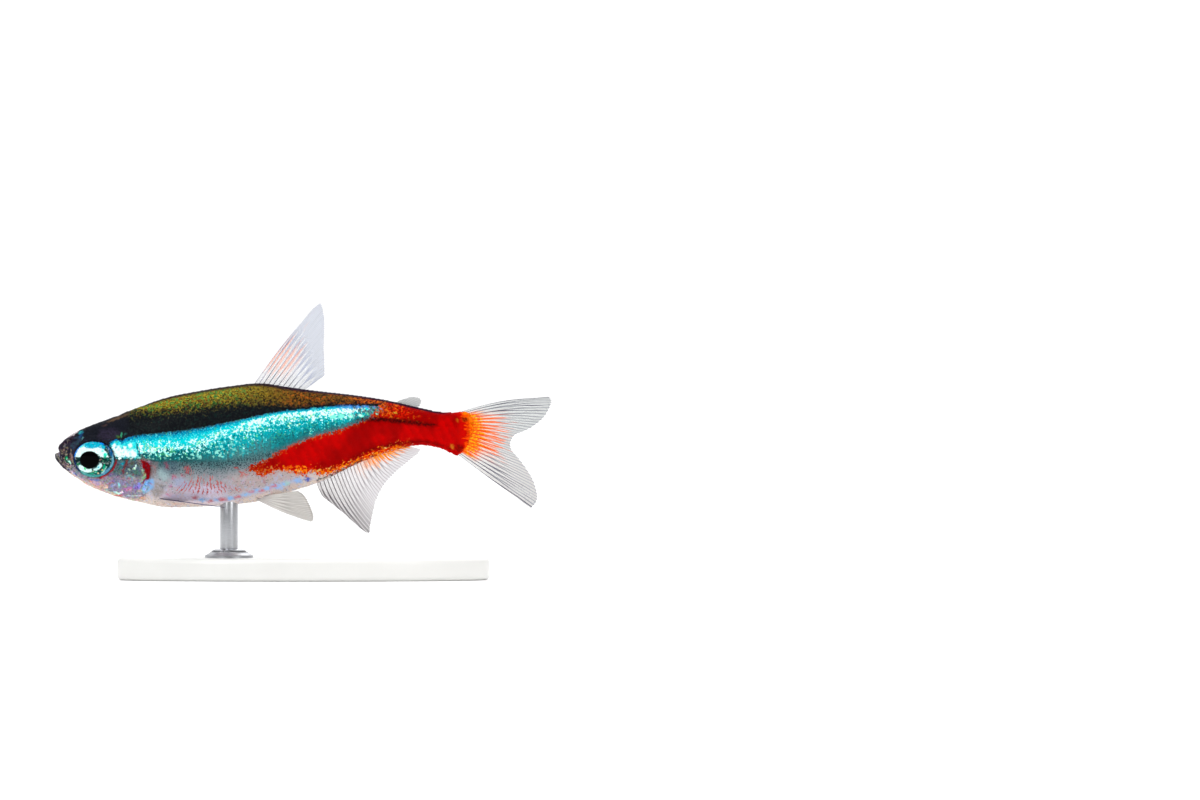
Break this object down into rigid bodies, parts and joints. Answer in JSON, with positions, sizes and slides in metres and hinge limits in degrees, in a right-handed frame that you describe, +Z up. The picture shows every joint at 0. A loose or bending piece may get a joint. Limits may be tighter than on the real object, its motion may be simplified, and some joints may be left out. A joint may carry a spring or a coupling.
{
  "type": "neon tetra",
  "caption": "Life-size neon tetra, swimming level above a small oval display stand on one short rod.",
  "frame": {"origin": "centre of the stand's flat underside, below the middle of the fish's length", "axes": "-X towards the head, +X towards the tail, -Y out of the fish's left flank, +Z up to the back"},
  "size_m": [0.036, 0.014, 0.0201],
  "materials": {
    "back": "wet blue-black and silver skin, glossy",
    "flank": "olive back, bright blue-green stripe, silver belly, red rear, glossy small scales",
    "red": "glossy red with a dark line along the middle",
    "eye": "blue-green mirror iris round a black pupil, clear and wet",
    "fin": "clear membrane with grey-violet rays",
    "tail": "clear membrane, orange at the root, dark rays",
    "board": "satin off-white",
    "steel": "fine brushed"
  },
  "bodies": {
    "root": {"head": "back", "trunk": "flank", "tail_stem": "red", "eye_left": "eye", "eye_right": "eye", "dorsal_fin": "fin", "adipose_fin": "fin", "anal_fin": "fin", "caudal_fin": "tail", "pectoral_fin_left": "fin", "pectoral_fin_right": "fin", "pelvic_fin_left": "fin", "pelvic_fin_right": "fin", "stand_base": "board", "stand_rod": "steel"}
  },
  "joints": []
}
